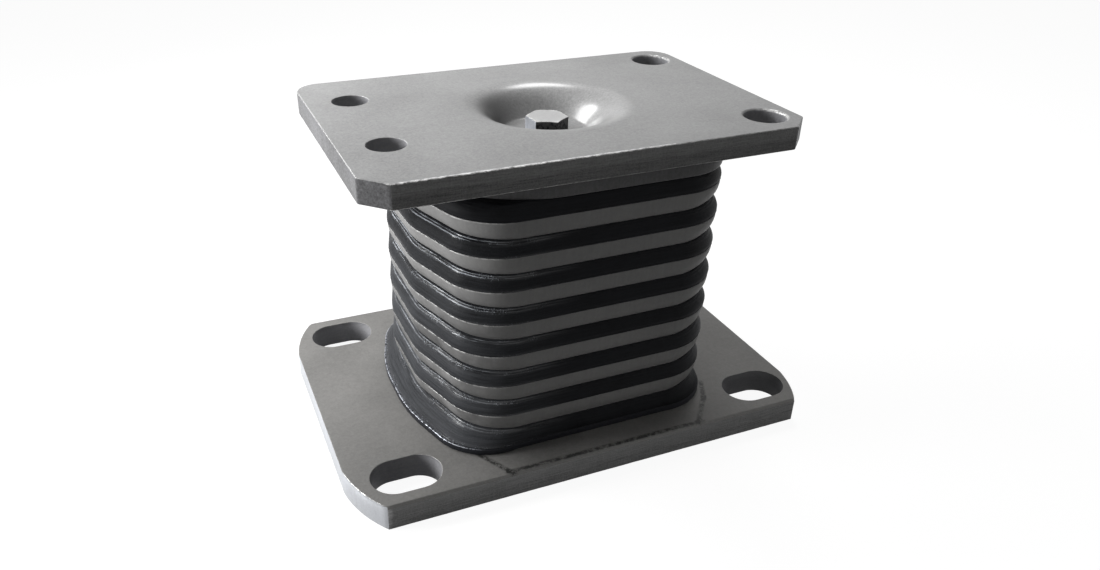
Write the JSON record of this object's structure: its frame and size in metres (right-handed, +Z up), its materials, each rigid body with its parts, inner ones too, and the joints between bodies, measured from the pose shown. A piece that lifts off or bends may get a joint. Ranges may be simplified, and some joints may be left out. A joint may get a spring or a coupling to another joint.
{
  "type": "leaf spring bushing",
  "caption": "Laminated rubber and steel spring block bolted between a slotted base plate and a drilled top plate with a pressed dimple.",
  "frame": {"origin": "middle of the base plate's underside, which is also the middle of the box's bottom", "axes": "+Z up along the centre bolt, X along the base plate's long side with the narrow pair of top holes at -X, -Y the front"},
  "size_m": [0.229, 0.1586, 0.151],
  "materials": {
    "top_steel": "thin dull grey coat on rolled sheet",
    "base_steel": "thin dull grey coat on rolled sheet",
    "block_steel": "matt grey coat on sheared edges",
    "rubber": "black moulded rubber with a slight gloss",
    "bolt_steel": "plain forged hexagon head"
  },
  "bodies": {
    "base": {"base_plate": "base_steel", "lower_end_plate": "block_steel", "centre_bolt": "bolt_steel", "rubber_layer_1": "rubber"},
    "interleaf_1": {"interleaf_plate_1": "block_steel", "rubber_layer_2": "rubber"},
    "interleaf_2": {"interleaf_plate_2": "block_steel", "rubber_layer_3": "rubber"},
    "interleaf_3": {"interleaf_plate_3": "block_steel", "rubber_layer_4": "rubber"},
    "interleaf_4": {"interleaf_plate_4": "block_steel", "rubber_layer_5": "rubber"},
    "interleaf_5": {"interleaf_plate_5": "block_steel", "rubber_layer_6": "rubber"},
    "interleaf_6": {"interleaf_plate_6": "block_steel", "rubber_layer_7": "rubber"},
    "interleaf_7": {"interleaf_plate_7": "block_steel", "rubber_layer_8": "rubber"},
    "top": {"top_plate": "top_steel", "upper_end_plate": "block_steel"}
  },
  "joints": [
    {"name": "interleaf_1_slide", "type": "slide", "parent": "base", "child": "interleaf_1", "axis": [0, 0, -1], "range_m": [0, 0.0007], "deforming": ["rubber_layer_1"]},
    {"name": "interleaf_2_slide", "type": "slide", "parent": "base", "child": "interleaf_2", "axis": [0, 0, -1], "range_m": [0, 0.0014], "deforming": ["rubber_layer_2"]},
    {"name": "interleaf_3_slide", "type": "slide", "parent": "base", "child": "interleaf_3", "axis": [0, 0, -1], "range_m": [0, 0.0021], "deforming": ["rubber_layer_3"]},
    {"name": "interleaf_4_slide", "type": "slide", "parent": "base", "child": "interleaf_4", "axis": [0, 0, -1], "range_m": [0, 0.0028], "deforming": ["rubber_layer_4"]},
    {"name": "interleaf_5_slide", "type": "slide", "parent": "base", "child": "interleaf_5", "axis": [0, 0, -1], "range_m": [0, 0.0035], "deforming": ["rubber_layer_5"]},
    {"name": "interleaf_6_slide", "type": "slide", "parent": "base", "child": "interleaf_6", "axis": [0, 0, -1], "range_m": [0, 0.0042], "deforming": ["rubber_layer_6"]},
    {"name": "interleaf_7_slide", "type": "slide", "parent": "base", "child": "interleaf_7", "axis": [0, 0, -1], "range_m": [0, 0.0049], "deforming": ["rubber_layer_7"]},
    {"name": "compression", "type": "slide", "parent": "base", "child": "top", "axis": [0, 0, -1], "range_m": [0, 0.0056], "stiffness_N_per_m": 400000, "springref_m": -0.0005, "deforming": ["rubber_layer_8"]}
  ],
  "couplings": [
    {"joint": "interleaf_1_slide", "follows": "compression", "ratio": 0.125},
    {"joint": "interleaf_2_slide", "follows": "compression", "ratio": 0.25},
    {"joint": "interleaf_3_slide", "follows": "compression", "ratio": 0.375},
    {"joint": "interleaf_4_slide", "follows": "compression", "ratio": 0.5},
    {"joint": "interleaf_5_slide", "follows": "compression", "ratio": 0.625},
    {"joint": "interleaf_6_slide", "follows": "compression", "ratio": 0.75},
    {"joint": "interleaf_7_slide", "follows": "compression", "ratio": 0.875}
  ]
}
